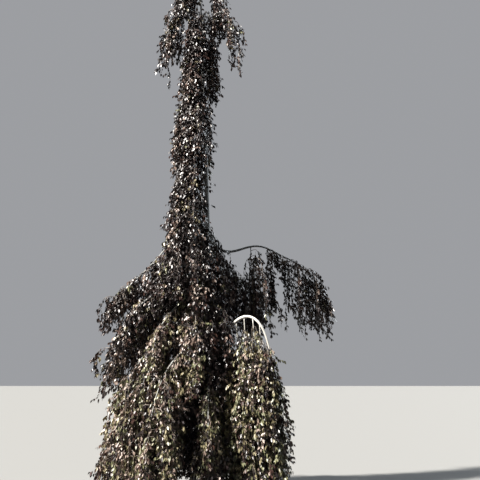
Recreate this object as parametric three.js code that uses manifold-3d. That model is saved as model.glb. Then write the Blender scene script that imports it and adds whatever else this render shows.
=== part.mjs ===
// A weeping purple beech: one slender trunk, boughs that arch out of it and hang, and curtains of leafy
// strands that fall from the boughs and from the trunk itself. Millimetres, +Z up. The origin is the middle
// of the flat cut under the trunk, at ground level. Azimuth 0 is +X, the right of the view, and 270 is -Y,
// towards the viewer.
import * as THREE from "three";
import { mergeVertices } from "three/addons/utils/BufferGeometryUtils.js";
import Module from "manifold-3d";

const wasm = await Module();
wasm.setup();

const { lerp, clamp, degToRad, seededRandom } = THREE.MathUtils;
const UP = new THREE.Vector3(0, 0, 1);

// The clearance kept between solids that meet.
const GAP = 0.3;

const TRUNK = {
  height: 8300,
  lean: -200, // how far the tip stands to the left of the foot
  sway: 26, // depth of the slow bend in the trunk's line
  swayAzimuth: -31,
  footRadius: 82,
  tipRadius: 8,
  taper: 0.85,
  flare: 62, // what the root flare adds to the radius at the cut
  flareHeight: 170,
  lobes: 5,
  lobeDepth: 0.28,
  sides: 12,
  rings: 14,
  ringSpacing: 1.7, // above 1, the rings crowd towards the flare
};

// A limb leaves the trunk at height `from`, heads out to `reach` and up or down to `over`, and ends at height
// `low`. `turn` swings it sideways on the way, `tuck` draws its end in or out, and `sag` bows its first half.
// The first `share` of it is a bare bough of radius `girth` at the trunk, and the rest is the stem of a mass,
// which fills up to `spread` to each side of it and `depth` before and behind it. Its strands hang as low as
// the limb's own end, and `trail` below that.
const LIMB = {
  turn: 0,
  tuck: 1,
  sag: 20,
  share: 0,
  girth: 16,
  spread: 220,
  depth: 170,
  trail: 0,
  strands: 2,
  leaves: 14,
  tint: "purple",
};
const SHOULDER = { share: 0.2, girth: 24, spread: 380, depth: 230, leaves: 16 };
const SKIRT = { share: 0.22, girth: 27, spread: 440, depth: 240, leaves: 20, tint: "copper" };
// Where the crown and the long right bough are thin enough to see through, a mass has no core.
const AIRY = { coreless: true, strands: 5, leaves: 18 };
const LIMBS = [
  { name: "crown_tip", from: 8260, azimuth: 165, reach: 200, over: 8780, low: 7750, sag: 0, leaves: 8 },
  { name: "crown_high_left", from: 7850, azimuth: 205, reach: 420, over: 8250, low: 7150 },
  { name: "crown_high_right", from: 7900, azimuth: 10, reach: 380, over: 8250, low: 7200 },
  { name: "crown_left", from: 7300, azimuth: 188, reach: 640, over: 7700, low: 6620, tuck: 0.85 },
  { ...AIRY, name: "crown_right", from: 7350, azimuth: 350, reach: 640, over: 7780, low: 6500 },
  { name: "crown_front", from: 7420, azimuth: 255, reach: 340, over: 7690, low: 6100 },
  { name: "crown_back", from: 7370, azimuth: 112, reach: 400, over: 7600, low: 6100 },
  { name: "crown_front_right", from: 7000, azimuth: 325, reach: 240, over: 7150, low: 6000 },
  ...columnLimbs(),
  { ...SHOULDER, name: "left_shoulder", from: 4700, azimuth: 184, reach: 1340, over: 3060, low: 2560 },
  {
    ...SHOULDER,
    name: "left_arch",
    from: 3350,
    azimuth: 192,
    reach: 1370,
    over: 2820,
    low: 1600,
    share: 0.4,
  },
  { name: "left_inner", from: 4150, azimuth: 207, reach: 660, over: 3900, low: 2800 },
  { ...SHOULDER, name: "left_middle", from: 3150, azimuth: 214, reach: 1020, over: 2560, low: 1150 },
  { name: "front_upper", from: 4050, azimuth: 264, reach: 420, over: 4000, low: 1950, spread: 240 },
  {
    ...SHOULDER,
    name: "front_middle",
    from: 3000,
    azimuth: 243,
    reach: 560,
    over: 2900,
    low: 1450,
    spread: 320,
  },
  { name: "front_right", from: 3750, azimuth: 325, reach: 270, over: 3800, low: 2150 },
  { ...SHOULDER, name: "right_inner", from: 3450, azimuth: 50, reach: 850, over: 3450, low: 2350 },
  {
    ...SHOULDER,
    ...AIRY,
    name: "right_outer",
    from: 3700,
    azimuth: 22,
    reach: 2000,
    over: 3620,
    low: 2700,
    sag: 180,
    share: 0.36,
    trail: 350,
    strands: 7,
    leaves: 22,
  },
  { ...SHOULDER, name: "back_left", from: 3950, azimuth: 150, reach: 1150, over: 3300, low: 1800 },
  { ...SHOULDER, name: "back_middle", from: 3500, azimuth: 100, reach: 900, over: 3300, low: 1800 },
  { ...SKIRT, name: "skirt_left", from: 2850, azimuth: 203, reach: 1330, over: 2150, low: 330 },
  { ...SKIRT, name: "skirt_front_left", from: 2250, azimuth: 232, reach: 1180, over: 1950, low: 300 },
  { ...SKIRT, name: "skirt_front", from: 1720, azimuth: 274, reach: 820, over: 1620, low: 280, spread: 190 },
  { ...SKIRT, name: "skirt_right", from: 2300, azimuth: 4, reach: 740, over: 2050, low: 330 },
  { ...SKIRT, name: "skirt_back_right", from: 2050, azimuth: 53, reach: 1060, over: 1850, low: 310 },
  { ...SKIRT, name: "skirt_back", from: 2300, azimuth: 96, reach: 1020, over: 1950, low: 300 },
  { ...SKIRT, name: "skirt_back_left", from: 2100, azimuth: 134, reach: 1220, over: 1900, low: 330 },
  { ...SKIRT, name: "skirt_far_left", from: 2500, azimuth: 169, reach: 1280, over: 2050, low: 330 },
  {
    ...SKIRT,
    name: "arch",
    from: 1750,
    azimuth: 314,
    turn: 16,
    reach: 1400,
    over: 2870,
    low: 330,
    tuck: 0.7,
    share: 0.65,
    girth: 31,
    spread: 210,
    tint: "bronze",
  },
];

// How far out, as a share of its reach, a limb is drawn before it turns over.
const TURN_OVER = 0.45;

// A bough that bends round a wide gap is split at its bend.
const CREST = 0.36;

// Stems that hang straight down from a bough, `bare` of leaves at their top.
const HANGERS = [
  { name: "arch_curtain_1", carrier: "arch", place: 0.29, low: 300, strands: 0, tint: "bronze" },
  { name: "arch_curtain_2", carrier: "arch", place: 0.46, low: 360, strands: 0, tint: "bronze" },
  { name: "right_middle", carrier: "right_outer", place: 0.26, low: 2500, spread: 380 },
];
const HANGER = { bareShare: 0.2, bow: 45, radius: 11 };

const BOUGH = { sides: 6, rings: 6, points: 16 };
const STEM = {
  radius: 13,
  tipRadius: 5,
  trunkShare: 0.7, // its radius is at most this share of the trunk's where it leaves the trunk
  sides: 3,
  rings: 5,
  points: 14,
  leafyFrom: 0.35,
  leafyTo: 0.98,
};

// A strand leaves its stem to one side, at one of `headings` from the limb's own, runs out to a share of the
// limb's spread and hangs. `knee`, `bend` and `tip` draw its line, as shares of how far it runs out.
const STRAND = {
  radius: 9,
  tipRadius: 5,
  sides: 3,
  rings: 3,
  leafyFrom: 0.2,
  lastPlace: 0.9,
  jitter: 0.6,
  headings: [55, 105],
  widths: [0.65, 1],
  falls: [-120, 180],
  shortestFall: 300,
  knee: { out: 0.6, up: 0.2 },
  bend: { out: 1, up: 0.1 },
  tip: { out: 1.05 },
  drawIn: [1, 0.7, 0.45], // the widths tried in turn where the space is narrow
  checks: 16,
  wanted: 0.85,
  shortest: 0.3,
  rootReach: 39,
};

// The heart of a dense mass: level rings that fill most of its space, with leaves standing out of it.
const CORE = {
  sides: 7,
  profile: [0.5, 1, 1, 0.9, 0.45],
  fill: 0.86,
  roughness: 0.16,
  step: 15,
  top: 0.035,
  bottom: 0.965,
  firstPoint: 2,
  nearby: [-0.5, 0, 0.5], // levels around each of its own where the room is measured
};

// Leaves in the solids are large and few: each stands for a spray.
const LEAF = {
  length: 480,
  width: 210,
  sizes: [0.65, 1.05],
  thickness: 15,
  widest: 0.42,
  leanOut: [12, 27],
  leanAside: 32,
  turn: 40,
  sunk: 10,
  buried: 0.12, // the most of a leaf that may lie inside what carries it
  tries: 50,
  onLine: 3, // one draw in three is on the stem or a strand, and the others on the core
};

// The places on a leaf, by shares of its length and width, that must be clear of limbs and other masses.
const LEAF_PROBES = [
  [1, 0],
  [0.7, 0.25],
  [0.7, -0.25],
  [LEAF.widest, 0.5],
  [LEAF.widest, -0.5],
  [LEAF.widest, 0],
];

// Foliage keeps this far inside its own space, clear of bare limbs and above the ground.
const SPACE_MARGIN = 28;
const LIMB_MARGIN = 14;
const GROUND_CLEARANCE = 50;

// Slivers smaller than this that are left by fusing, and by the cut at the trunk, are smoothed away.
const TIDY = { fused: 1.5, cut: 0.15 };

const BARK = { color: 0x8d8780, roughness: 0.75, metalness: 0 };
const FOLIAGE = {
  purple: { color: 0x4a2f36, roughness: 0.45, metalness: 0 },
  copper: { color: 0x6b4434, roughness: 0.45, metalness: 0 },
  bronze: { color: 0x5c5236, roughness: 0.5, metalness: 0 },
};

// Two tiers of limbs hug the trunk, the lower ones between the upper ones: the narrow column of the tree. It
// hangs on the trunk's left, front and back, and leaves the right side bare.
function columnLimbs() {
  const tiers = [
    { tier: "upper", from: 6250, low: 4950, reach: 330, azimuths: [105, 155, 205, 255] },
    { tier: "lower", from: 5050, low: 3500, reach: 420, azimuths: [128, 165, 202, 238] },
  ];
  const stagger = 70;
  const rise = 110;
  return tiers.flatMap(({ tier, from, low, reach, azimuths }) =>
    azimuths.map((azimuth, i) => ({
      name: `column_${tier}_${i + 1}`,
      from: from + stagger * (i % 2),
      azimuth,
      reach,
      over: from + rise,
      low,
    })),
  );
}

function direction(azimuth) {
  return new THREE.Vector3(Math.cos(degToRad(azimuth)), Math.sin(degToRad(azimuth)), 0);
}

function cubic(t, a, b, c, d) {
  const s = 1 - t;
  return s * s * s * a + 3 * s * s * t * b + 3 * s * t * t * c + t * t * t * d;
}

function trunkAxis(z) {
  const share = z / TRUNK.height;
  const bend = direction(TRUNK.swayAzimuth).multiplyScalar(TRUNK.sway * Math.sin(2 * Math.PI * share));
  return bend.add(new THREE.Vector3(TRUNK.lean * share ** 3, 0, z));
}

function trunkRadius(z, angle = 0) {
  const stem = lerp(TRUNK.footRadius, TRUNK.tipRadius, Math.min(z / TRUNK.height, 1) ** TRUNK.taper);
  const lobe = 1 + TRUNK.lobeDepth * Math.cos(TRUNK.lobes * angle);
  return stem + TRUNK.flare * Math.exp(-z / TRUNK.flareHeight) * lobe;
}

// The line of a limb: out from the trunk's axis, over, and down.
class LimbCurve extends THREE.Curve {
  constructor(limb) {
    super();
    this.limb = { ...LIMB, ...limb };
  }

  getPoint(t, target = new THREE.Vector3()) {
    const { from, azimuth, turn, reach, over, low, tuck, sag } = this.limb;
    const out = cubic(t, 0, TURN_OVER * reach, reach, reach * tuck);
    const half = Math.min(2 * t, 1);
    const dip = sag * (1 - half) * Math.sin(2 * Math.PI * half);
    const z = cubic(t, from, over, over, low) - dip;
    return target.copy(trunkAxis(from)).setZ(0).addScaledVector(direction(azimuth + turn * t), out).setZ(z);
  }
}

// The line of a hanger: down from a place on its carrier, with a slight bow.
class HangerCurve extends THREE.Curve {
  constructor(hanger, carrier) {
    super();
    this.limb = { ...LIMB, azimuth: carrier.limb.azimuth, ...hanger };
    this.top = carrier.getPoint(hanger.place);
    this.side = direction(this.limb.azimuth + 90);
  }

  getPoint(t, target = new THREE.Vector3()) {
    const bow = HANGER.bow * Math.sin(Math.PI * t);
    return target.copy(this.top).addScaledVector(this.side, bow).setZ(lerp(this.top.z, this.limb.low, t));
  }
}

// Joins rings of points into a closed body with a flat fan at each end.
function ringGeometry(rings) {
  const sides = rings[0].length;
  const index = [];
  for (let ring = 0; ring < rings.length - 1; ring += 1) {
    for (let side = 0; side < sides; side += 1) {
      const a = ring * sides + side;
      const b = ring * sides + ((side + 1) % sides);
      index.push(a, b, b + sides, a, b + sides, a + sides);
    }
  }
  const last = (rings.length - 1) * sides;
  for (let side = 1; side < sides - 1; side += 1) {
    index.push(0, side + 1, side, last, last + side, last + side + 1);
  }
  return new THREE.BufferGeometry().setFromPoints(rings.flat()).setIndex(index);
}

// A closed tube along part of a curve, from `start` to `end`, with its radius given along that part.
function tubeGeometry(curve, start, end, radiusAt, sides, rings) {
  const line = new THREE.Curve();
  line.getPoint = (t, target) => curve.getPoint(lerp(start, end, t), target);
  const { normals, binormals } = line.computeFrenetFrames(rings, false);
  return ringGeometry(
    normals.map((normal, ring) =>
      Array.from({ length: sides }, (_, side) => {
        const angle = (2 * Math.PI * side) / sides;
        const radius = radiusAt(ring / rings);
        return line
          .getPointAt(ring / rings, new THREE.Vector3())
          .addScaledVector(normal, radius * Math.cos(angle))
          .addScaledVector(binormals[ring], radius * Math.sin(angle));
      }),
    ),
  );
}

// The trunk, or with `grown` a slightly fatter and longer copy that cuts its neighbours clear of it.
function trunkGeometry(grown = 0) {
  const rings = [];
  for (let ring = 0; ring <= TRUNK.rings; ring += 1) {
    const centre = trunkAxis(TRUNK.height * (ring / TRUNK.rings) ** TRUNK.ringSpacing);
    const lift = ring === TRUNK.rings ? grown : 0;
    rings.push(
      Array.from({ length: TRUNK.sides }, (_, side) => {
        const azimuth = (360 * side) / TRUNK.sides;
        const radius = trunkRadius(centre.z, degToRad(azimuth)) + grown;
        return centre.clone().addScaledVector(direction(azimuth), radius).addScaledVector(UP, lift);
      }),
    );
  }
  return ringGeometry(rings);
}

// A blade from `root` along `along`, its edges along `across`, with a raised rib on a flat underside. Its
// root reaches past the axis of the twig that carries it.
function leafGeometry(leaf) {
  const rib = new THREE.Vector3().crossVectors(leaf.along, leaf.across).multiplyScalar(LEAF.thickness);
  const corners = [
    leaf.root.clone().addScaledVector(leaf.along, -STRAND.radius),
    leafPlace(leaf, LEAF.widest, 0.5),
    leafPlace(leaf, 1, 0),
    leafPlace(leaf, LEAF.widest, -0.5),
    leafPlace(leaf, LEAF.widest, 0).add(rib),
  ];
  const faces = [0, 1, 4, 1, 2, 4, 2, 3, 4, 3, 0, 4, 0, 3, 1, 1, 3, 2];
  return new THREE.BufferGeometry().setFromPoints(corners).setIndex(faces);
}

// A place on a leaf, by shares of its length and width.
function leafPlace({ root, along, across, size }, length, width) {
  return root
    .clone()
    .addScaledVector(along, LEAF.length * size * length)
    .addScaledVector(across, LEAF.width * size * width);
}

function toSolid(geometry) {
  const bare = mergeVertices(geometry, 1e-3);
  const vertProperties = bare.attributes.position.array;
  const triVerts = new Uint32Array(bare.index.array);
  const solid = new wasm.Manifold(new wasm.Mesh({ numProp: 3, vertProperties, triVerts }));
  if (solid.volume() > 0) return solid;
  return new wasm.Manifold(new wasm.Mesh({ numProp: 3, vertProperties, triVerts: triVerts.reverse() }));
}

function toGeometry(solid) {
  const mesh = solid.getMesh();
  const geometry = new THREE.BufferGeometry();
  geometry.setAttribute("position", new THREE.BufferAttribute(mesh.vertProperties, mesh.numProp));
  geometry.setIndex(new THREE.BufferAttribute(mesh.triVerts, 1));
  geometry.computeVertexNormals();
  return geometry;
}

// The largest connected body: loose scraps and sealed hollows are dropped.
function largestBody(solid) {
  return solid.decompose().reduce((best, body) => (body.volume() > best.volume() ? body : best));
}

// A solid cut clear of what carries it.
function clearOf(solid, cutter) {
  return largestBody(solid.subtract(cutter).simplify(TIDY.cut));
}

// A bare bough between two places on its curve, or with `grown` a fatter copy that cuts its neighbours.
function boughSolid(curve, start, end, grown = 0) {
  const { girth, share } = curve.limb;
  const radiusAt = (u) => lerp(girth, STEM.radius, lerp(start, end, u) / share) + grown;
  return toSolid(tubeGeometry(curve, start, end, radiusAt, BOUGH.sides, BOUGH.rings));
}

function linePoints(curve, start, end, steps) {
  return Array.from({ length: steps + 1 }, (_, i) => curve.getPoint(lerp(start, end, i / steps)));
}

function distanceToLine(points, place) {
  const segment = new THREE.Line3();
  const nearest = new THREE.Vector3();
  let best = Infinity;
  for (let i = 1; i < points.length; i += 1) {
    segment.set(points[i - 1], points[i]).closestPointToPoint(place, true, nearest);
    best = Math.min(best, nearest.distanceToSquared(place));
  }
  return Math.sqrt(best);
}

// The bare limbs that foliage keeps clear of, and the stems of the masses.
const bareLimbs = [];
const stems = [];

function touchesLimb(place, reach) {
  const axis = trunkAxis(clamp(place.z, 0, TRUNK.height));
  if (axis.distanceTo(place) < trunkRadius(axis.z) + reach + LIMB_MARGIN) return true;
  return bareLimbs.some(({ points, radius }) => distanceToLine(points, place) < radius + reach + LIMB_MARGIN);
}

// A mass owns the space above the ground that is nearer its own stem than any other.
function inOwnSpace(stem, place) {
  if (place.z < GROUND_CLEARANCE) return false;
  const own = distanceToLine(stem.points, place) + SPACE_MARGIN;
  return stems.every((other) => other === stem || distanceToLine(other.points, place) > own);
}

// The stem of a mass starts where its bough ends, clear of it, or inside what carries it and is cut by that.
function addStem(curve, cutter, radius, leafyFrom) {
  const { share } = curve.limb;
  const start = share ? share + GAP / curve.getLength() : 0;
  stems.push({ curve, start, cutter, radius, leafyFrom, points: linePoints(curve, start, 1, STEM.points) });
}

function strandCurve(top, heading, width, fall) {
  const { knee, bend, tip } = STRAND;
  const away = direction(heading).multiplyScalar(width);
  const place = (out, up) => top.clone().addScaledVector(away, out).addScaledVector(UP, up);
  return new THREE.CubicBezierCurve3(
    top,
    place(knee.out, knee.up * width),
    place(bend.out, bend.up * width),
    place(tip.out, -fall),
  );
}

// How much of a strand stays in its mass's own space, clear of every limb.
function clearShare(stem, strand) {
  for (let check = 1; check <= STRAND.checks; check += 1) {
    const point = strand.getPoint(check / STRAND.checks);
    const byStem = distanceToLine(stem.points, point) < STRAND.rootReach;
    const touches = !byStem && touchesLimb(point, STRAND.radius);
    if (touches || !inOwnSpace(stem, point)) return (check - 1) / STRAND.checks;
  }
  return 1;
}

// Strands leave the stem beyond `leafyFrom` to alternate sides, drawn in where the space is narrow.
function strandsOf(stem, leafyFrom) {
  const { strands: count, azimuth, spread, trail } = stem.curve.limb;
  const low = stem.points.at(-1).z - trail;
  const strands = [];
  for (let i = 0; i < count; i += 1) {
    const place = lerp(leafyFrom, STRAND.lastPlace, (i + STRAND.jitter * seededRandom()) / count);
    const top = stem.curve.getPoint(place);
    const heading = azimuth + (i % 2 ? 1 : -1) * lerp(...STRAND.headings, seededRandom());
    const width = spread * lerp(...STRAND.widths, seededRandom());
    const fall = Math.max(STRAND.shortestFall, top.z - low + lerp(...STRAND.falls, seededRandom()));
    const options = STRAND.drawIn.map((share) => {
      const curve = strandCurve(top, heading, share * width, fall);
      return { curve, clear: clearShare(stem, curve) };
    });
    const best = options.find(({ clear }) => clear > STRAND.wanted) ?? options.at(-1);
    if (best.clear > STRAND.shortest) strands.push(best);
  }
  return strands;
}

// A place on the falling part of a stem, at a level of the core counted from the top, with its share of the
// curve.
function coreCentre({ start, points }, level) {
  const steps = points.length - 1;
  const crest = points.reduce((best, point, i) => (point.z > points[best].z ? i : best), 0);
  const first = Math.max(crest, CORE.firstPoint);
  const down = lerp(CORE.top, CORE.bottom, level / (CORE.profile.length - 1));
  const z = lerp(points[first].z, points[steps].z, down);
  const below = points.findIndex((point, i) => i > first && point.z <= z);
  const [upper, lower] = [points[below - 1], points[below]];
  const between = (upper.z - z) / (upper.z - lower.z);
  const share = lerp(start, 1, (below - 1 + between) / steps);
  return { centre: upper.clone().lerp(lower, between), share };
}

// How far a mass's space reaches from a place on its stem, within its own spread and depth.
function roomAt(stem, centre, azimuth) {
  const { spread, depth } = stem.curve.limb;
  const angle = degToRad(azimuth - stem.curve.limb.azimuth);
  const limit = 1 / Math.hypot(Math.cos(angle) / depth, Math.sin(angle) / spread);
  for (let reach = CORE.step; reach <= limit; reach += CORE.step) {
    const place = centre.clone().addScaledVector(direction(azimuth), reach);
    if (!inOwnSpace(stem, place) || touchesLimb(place, 0)) return reach - CORE.step;
  }
  return limit;
}

// The least room that a mass's space has at a level of the core and close above and below it.
function leastRoom(stem, level, azimuth) {
  const last = CORE.profile.length - 1;
  const nearby = CORE.nearby.map((step) => coreCentre(stem, clamp(level + step, 0, last)).centre);
  return Math.min(...nearby.map((centre) => roomAt(stem, centre, azimuth)));
}

// The core's level rings, from the top down, each turned by less than one side. A ring keeps its centre, for
// the leaves.
function coreLevels(stem) {
  const between = 360 / CORE.sides;
  return CORE.profile.map((wide, level) => {
    const turn = between * seededRandom();
    const corners = Array.from({ length: CORE.sides }, (_, side) => {
      const azimuth = turn + between * side;
      const room = leastRoom(stem, level, azimuth) * CORE.fill * wide;
      const radius = Math.max(stem.radius, room * (1 - CORE.roughness * seededRandom()));
      return { azimuth, radius };
    });
    return { ...coreCentre(stem, level), corners };
  });
}

function coreSolid(levels) {
  const rings = levels.map(({ centre, corners }) =>
    corners.map(({ azimuth, radius }) => centre.clone().addScaledVector(direction(azimuth), radius)),
  );
  return toSolid(ringGeometry(rings));
}

// A leaf hangs from its root, leaning out and to one side, its face turned outwards.
function drawLeaf(root, azimuth) {
  const outward = direction(azimuth);
  const aside = direction(azimuth + 90);
  const leanOut = degToRad(lerp(...LEAF.leanOut, seededRandom()));
  const leanAside = degToRad(lerp(-LEAF.leanAside, LEAF.leanAside, seededRandom()));
  const along = outward.clone().multiplyScalar(Math.tan(leanOut));
  along.addScaledVector(aside, Math.tan(leanAside)).sub(UP).normalize();
  const across = new THREE.Vector3().crossVectors(outward, along).normalize();
  return { root, along, across, size: lerp(...LEAF.sizes, seededRandom()) };
}

function leafOnLine({ curve, start, end }) {
  const root = curve.getPoint(lerp(start, end, seededRandom()));
  const outward = root.clone().sub(trunkAxis(root.z));
  const azimuth = THREE.MathUtils.radToDeg(Math.atan2(outward.y, outward.x));
  return drawLeaf(root, azimuth + lerp(-LEAF.turn, LEAF.turn, seededRandom()));
}

// Leaves on the core are rooted in its sides, below the part that widens downwards.
function leafOnCore({ levels }) {
  const level = 1 + Math.floor((levels.length - 2) * seededRandom());
  const down = seededRandom();
  const { centre, corners } = levels[level];
  const side = Math.floor(CORE.sides * seededRandom());
  const azimuth = corners[side].azimuth + 180 / CORE.sides;
  const place = centre.clone().lerp(levels[level + 1].centre, down);
  const wide = 0.5 * (corners[side].radius + corners[(side + 1) % CORE.sides].radius);
  const out = wide * Math.cos(Math.PI / CORE.sides) - LEAF.sunk;
  return drawLeaf(place.addScaledVector(direction(azimuth), out), azimuth);
}

function leafFits(stem, leaf) {
  return LEAF_PROBES.every(([length, width]) => {
    const place = leafPlace(leaf, length, width);
    return inOwnSpace(stem, place) && !touchesLimb(place, LEAF.thickness);
  });
}

// Draws several leaves and keeps the one farthest from the leaves there are that crosses nothing but what
// carries it.
function nextLeaf(stem, lines, core, leaves) {
  const drawn = [];
  for (let attempt = 0; attempt < LEAF.tries; attempt += 1) {
    const onCore = core && attempt % LEAF.onLine;
    const carrier = onCore ? core : lines[Math.floor(lines.length * seededRandom())];
    const leaf = onCore ? leafOnCore(core) : leafOnLine(carrier);
    const middle = leafPlace(leaf, 0.5, 0);
    const room = Math.min(...leaves.map((other) => other.middle.distanceTo(middle)));
    drawn.push({ carrier, leaf, middle, room });
  }
  drawn.sort((a, b) => b.room - a.room);
  for (const { carrier, leaf, middle } of drawn) {
    if (!leafFits(stem, leaf)) continue;
    const solid = toSolid(leafGeometry(leaf));
    const buried = solid.intersect(carrier.solid).volume() / solid.volume();
    const others = [...lines, ...leaves, core].filter((other) => other && other !== carrier);
    const apart = others.every((other) => solid.intersect(other.solid).isEmpty());
    if (apart && buried < LEAF.buried) return { middle, solid };
  }
  return null;
}

function massSolid(stem, seed) {
  seededRandom(seed);
  const { curve, start, radius } = stem;
  const stemRadius = (u) => lerp(radius, STEM.tipRadius, u);
  const strandRadius = (u) => lerp(STRAND.radius, STRAND.tipRadius, u);
  const levels = curve.limb.coreless ? null : coreLevels(stem);
  const core = levels && { levels, solid: coreSolid(levels) };
  const end = levels ? levels[1].share : 1;
  const stemSolid = toSolid(tubeGeometry(curve, start, end, stemRadius, STEM.sides, STEM.rings));
  const leafyFrom = Math.max(start, stem.leafyFrom);
  const lines = [{ curve, start: leafyFrom, end: STEM.leafyTo * end, solid: stemSolid }];
  for (const { curve: line, clear } of strandsOf(stem, levels ? levels[2].share : leafyFrom)) {
    const solid = toSolid(tubeGeometry(line, 0, clear, strandRadius, STRAND.sides, STRAND.rings));
    lines.push({ curve: line, start: STRAND.leafyFrom * clear, end: STEM.leafyTo * clear, solid });
  }
  const leaves = [];
  for (let i = 0; i < curve.limb.leaves; i += 1) {
    const leaf = nextLeaf(stem, lines, core, leaves);
    if (leaf) leaves.push(leaf);
  }
  const parts = [...lines, ...leaves, core].filter(Boolean).map(({ solid }) => solid);
  return clearOf(wasm.Manifold.union(parts).simplify(TIDY.fused), stem.cutter);
}

function addNode(group, name, solid, look) {
  const material = new THREE.MeshStandardMaterial({ ...look, flatShading: true });
  const mesh = new THREE.Mesh(toGeometry(solid), material);
  mesh.name = name;
  group.add(mesh);
}

const tree = new THREE.Group();
const trunkCutter = toSolid(trunkGeometry(GAP));
addNode(tree, "trunk", toSolid(trunkGeometry()), BARK);

const limbCurves = LIMBS.map((limb) => new LimbCurve(limb));
for (const curve of limbCurves) {
  const { name, share, girth, from } = curve.limb;
  if (name === "arch") {
    const crestGap = GAP / curve.getLength();
    addNode(tree, "bough_arch_rise", clearOf(boughSolid(curve, 0, CREST), trunkCutter), BARK);
    addNode(tree, "bough_arch_fall", boughSolid(curve, CREST + crestGap, share), BARK);
  } else if (share) {
    addNode(tree, `bough_${name}`, clearOf(boughSolid(curve, 0, share), trunkCutter), BARK);
  }
  if (share) bareLimbs.push({ points: linePoints(curve, 0, share, BOUGH.points), radius: girth });
  const radius = share ? STEM.radius : Math.min(STEM.radius, STEM.trunkShare * trunkRadius(from));
  addStem(curve, trunkCutter, radius, STEM.leafyFrom);
}

for (const hanger of HANGERS) {
  const carrier = limbCurves.find((curve) => curve.limb.name === hanger.carrier);
  const ends = hanger.carrier === "arch" ? [0, CREST, carrier.limb.share] : [0, carrier.limb.share];
  const cutter = wasm.Manifold.union(
    ends.slice(1).map((end, part) => boughSolid(carrier, ends[part], end, GAP)),
  );
  addStem(new HangerCurve(hanger, carrier), cutter, HANGER.radius, HANGER.bareShare);
}

stems.forEach((stem, index) => {
  const { name, tint } = stem.curve.limb;
  addNode(tree, `mass_${name}`, massSolid(stem, index + 1), FOLIAGE[tint]);
});

export default tree;
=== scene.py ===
# A weeping purple beech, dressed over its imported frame: smooth grey bark, and curtains of thin hanging twigs
# with all their leaves. Sizes are in metres and angles in degrees, +Z is up, and the origin is the middle of
# the cut under the trunk. Azimuth 0 is +X, the right of the view, and 270 is -Y, towards the viewer.
import math
from dataclasses import dataclass

import bpy
import numpy as np
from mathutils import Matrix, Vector, noise


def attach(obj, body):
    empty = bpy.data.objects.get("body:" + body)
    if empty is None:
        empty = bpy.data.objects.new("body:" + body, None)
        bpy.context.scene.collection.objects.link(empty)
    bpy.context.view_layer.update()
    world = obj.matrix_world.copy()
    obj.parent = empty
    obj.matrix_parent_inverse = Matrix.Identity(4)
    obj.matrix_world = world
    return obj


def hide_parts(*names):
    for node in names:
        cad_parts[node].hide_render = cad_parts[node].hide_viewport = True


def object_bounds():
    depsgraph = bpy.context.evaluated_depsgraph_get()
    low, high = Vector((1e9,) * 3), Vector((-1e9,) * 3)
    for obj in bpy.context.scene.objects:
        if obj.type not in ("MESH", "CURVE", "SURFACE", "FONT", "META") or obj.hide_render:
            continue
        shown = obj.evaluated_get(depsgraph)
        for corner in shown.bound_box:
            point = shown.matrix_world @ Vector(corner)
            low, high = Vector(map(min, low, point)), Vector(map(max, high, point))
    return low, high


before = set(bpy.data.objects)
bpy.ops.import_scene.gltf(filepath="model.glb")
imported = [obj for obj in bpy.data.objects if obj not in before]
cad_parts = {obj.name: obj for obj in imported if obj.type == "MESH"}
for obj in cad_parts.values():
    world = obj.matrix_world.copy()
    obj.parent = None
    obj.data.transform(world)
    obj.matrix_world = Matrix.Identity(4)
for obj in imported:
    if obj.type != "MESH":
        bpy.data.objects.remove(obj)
cad_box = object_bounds()

SEED = 11

CAMERA = {"place": (0.49, -9.0, 1.6), "pitch": 13.1, "lens": 45, "sensor": 36, "far": 300}

# A strong key light from the left and a little in front, as the sun stands in the photograph, and a weak and
# soft one from behind on the right. The fill is weak, so that the inside of the tree stays dark, and the
# backdrop behind the tree is brighter than it.
LIGHTS = {
    "key": {"azimuth": 205, "elevation": 47, "energy": 12.2, "angle": 3, "color": (1.0, 0.96, 0.90)},
    "back": {"azimuth": 38, "elevation": 32, "energy": 2.6, "angle": 35, "color": (0.86, 0.93, 1.0)},
}
FILL = {"color": (0.88, 0.93, 1.0), "strength": 0.06}
BACKDROP = {"color": (0.93, 0.95, 1.0), "strength": 0.36}
FLOOR = {"half": 150, "color": (0.21, 0.21, 0.205), "roughness": 0.9}

# The trunk's tip stands `lean` to the side of its foot, and its middle line bends by `sway` on the way up.
TRUNK = {
    "height": 8.3,
    "lean": -0.2,
    "sway": 0.026,
    "sway_azimuth": -31,
    "foot_radius": 0.082,
    "tip_radius": 0.008,
    "taper": 0.85,
    "flare": 0.062,
    "flare_height": 0.17,
    "lobes": 5,
    "lobe_depth": 0.28,
    "sides": 48,
    "ring_height": 0.022,
}

# The bark's relief: soft lumps, and fine wrinkles that run round the limb.
LUMPS = {"height": 0.0022, "scale": 9}
WRINKLES = {"height": 0.0007, "scale": 7, "rise": 11}
# A limb is thicker for a short way out from the trunk, and the trunk swells where a limb leaves it. A limb of
# `girth` or more has the whole swelling.
COLLAR = {"swell": 0.7, "length": 0.06}
SWELLING = {"height": 0.010, "rise": 0.05, "width": 0.5, "girth": 0.024}
# A limb without a bough is at most `of_trunk` as thick as the trunk where it leaves it.
BOUGH = {"sides": 10, "rings": 48, "of_trunk": 0.7, "relief": 1.6}

# How far out, as a share of its reach, a limb is drawn before it turns over.
TURN_OVER = 0.45


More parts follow.
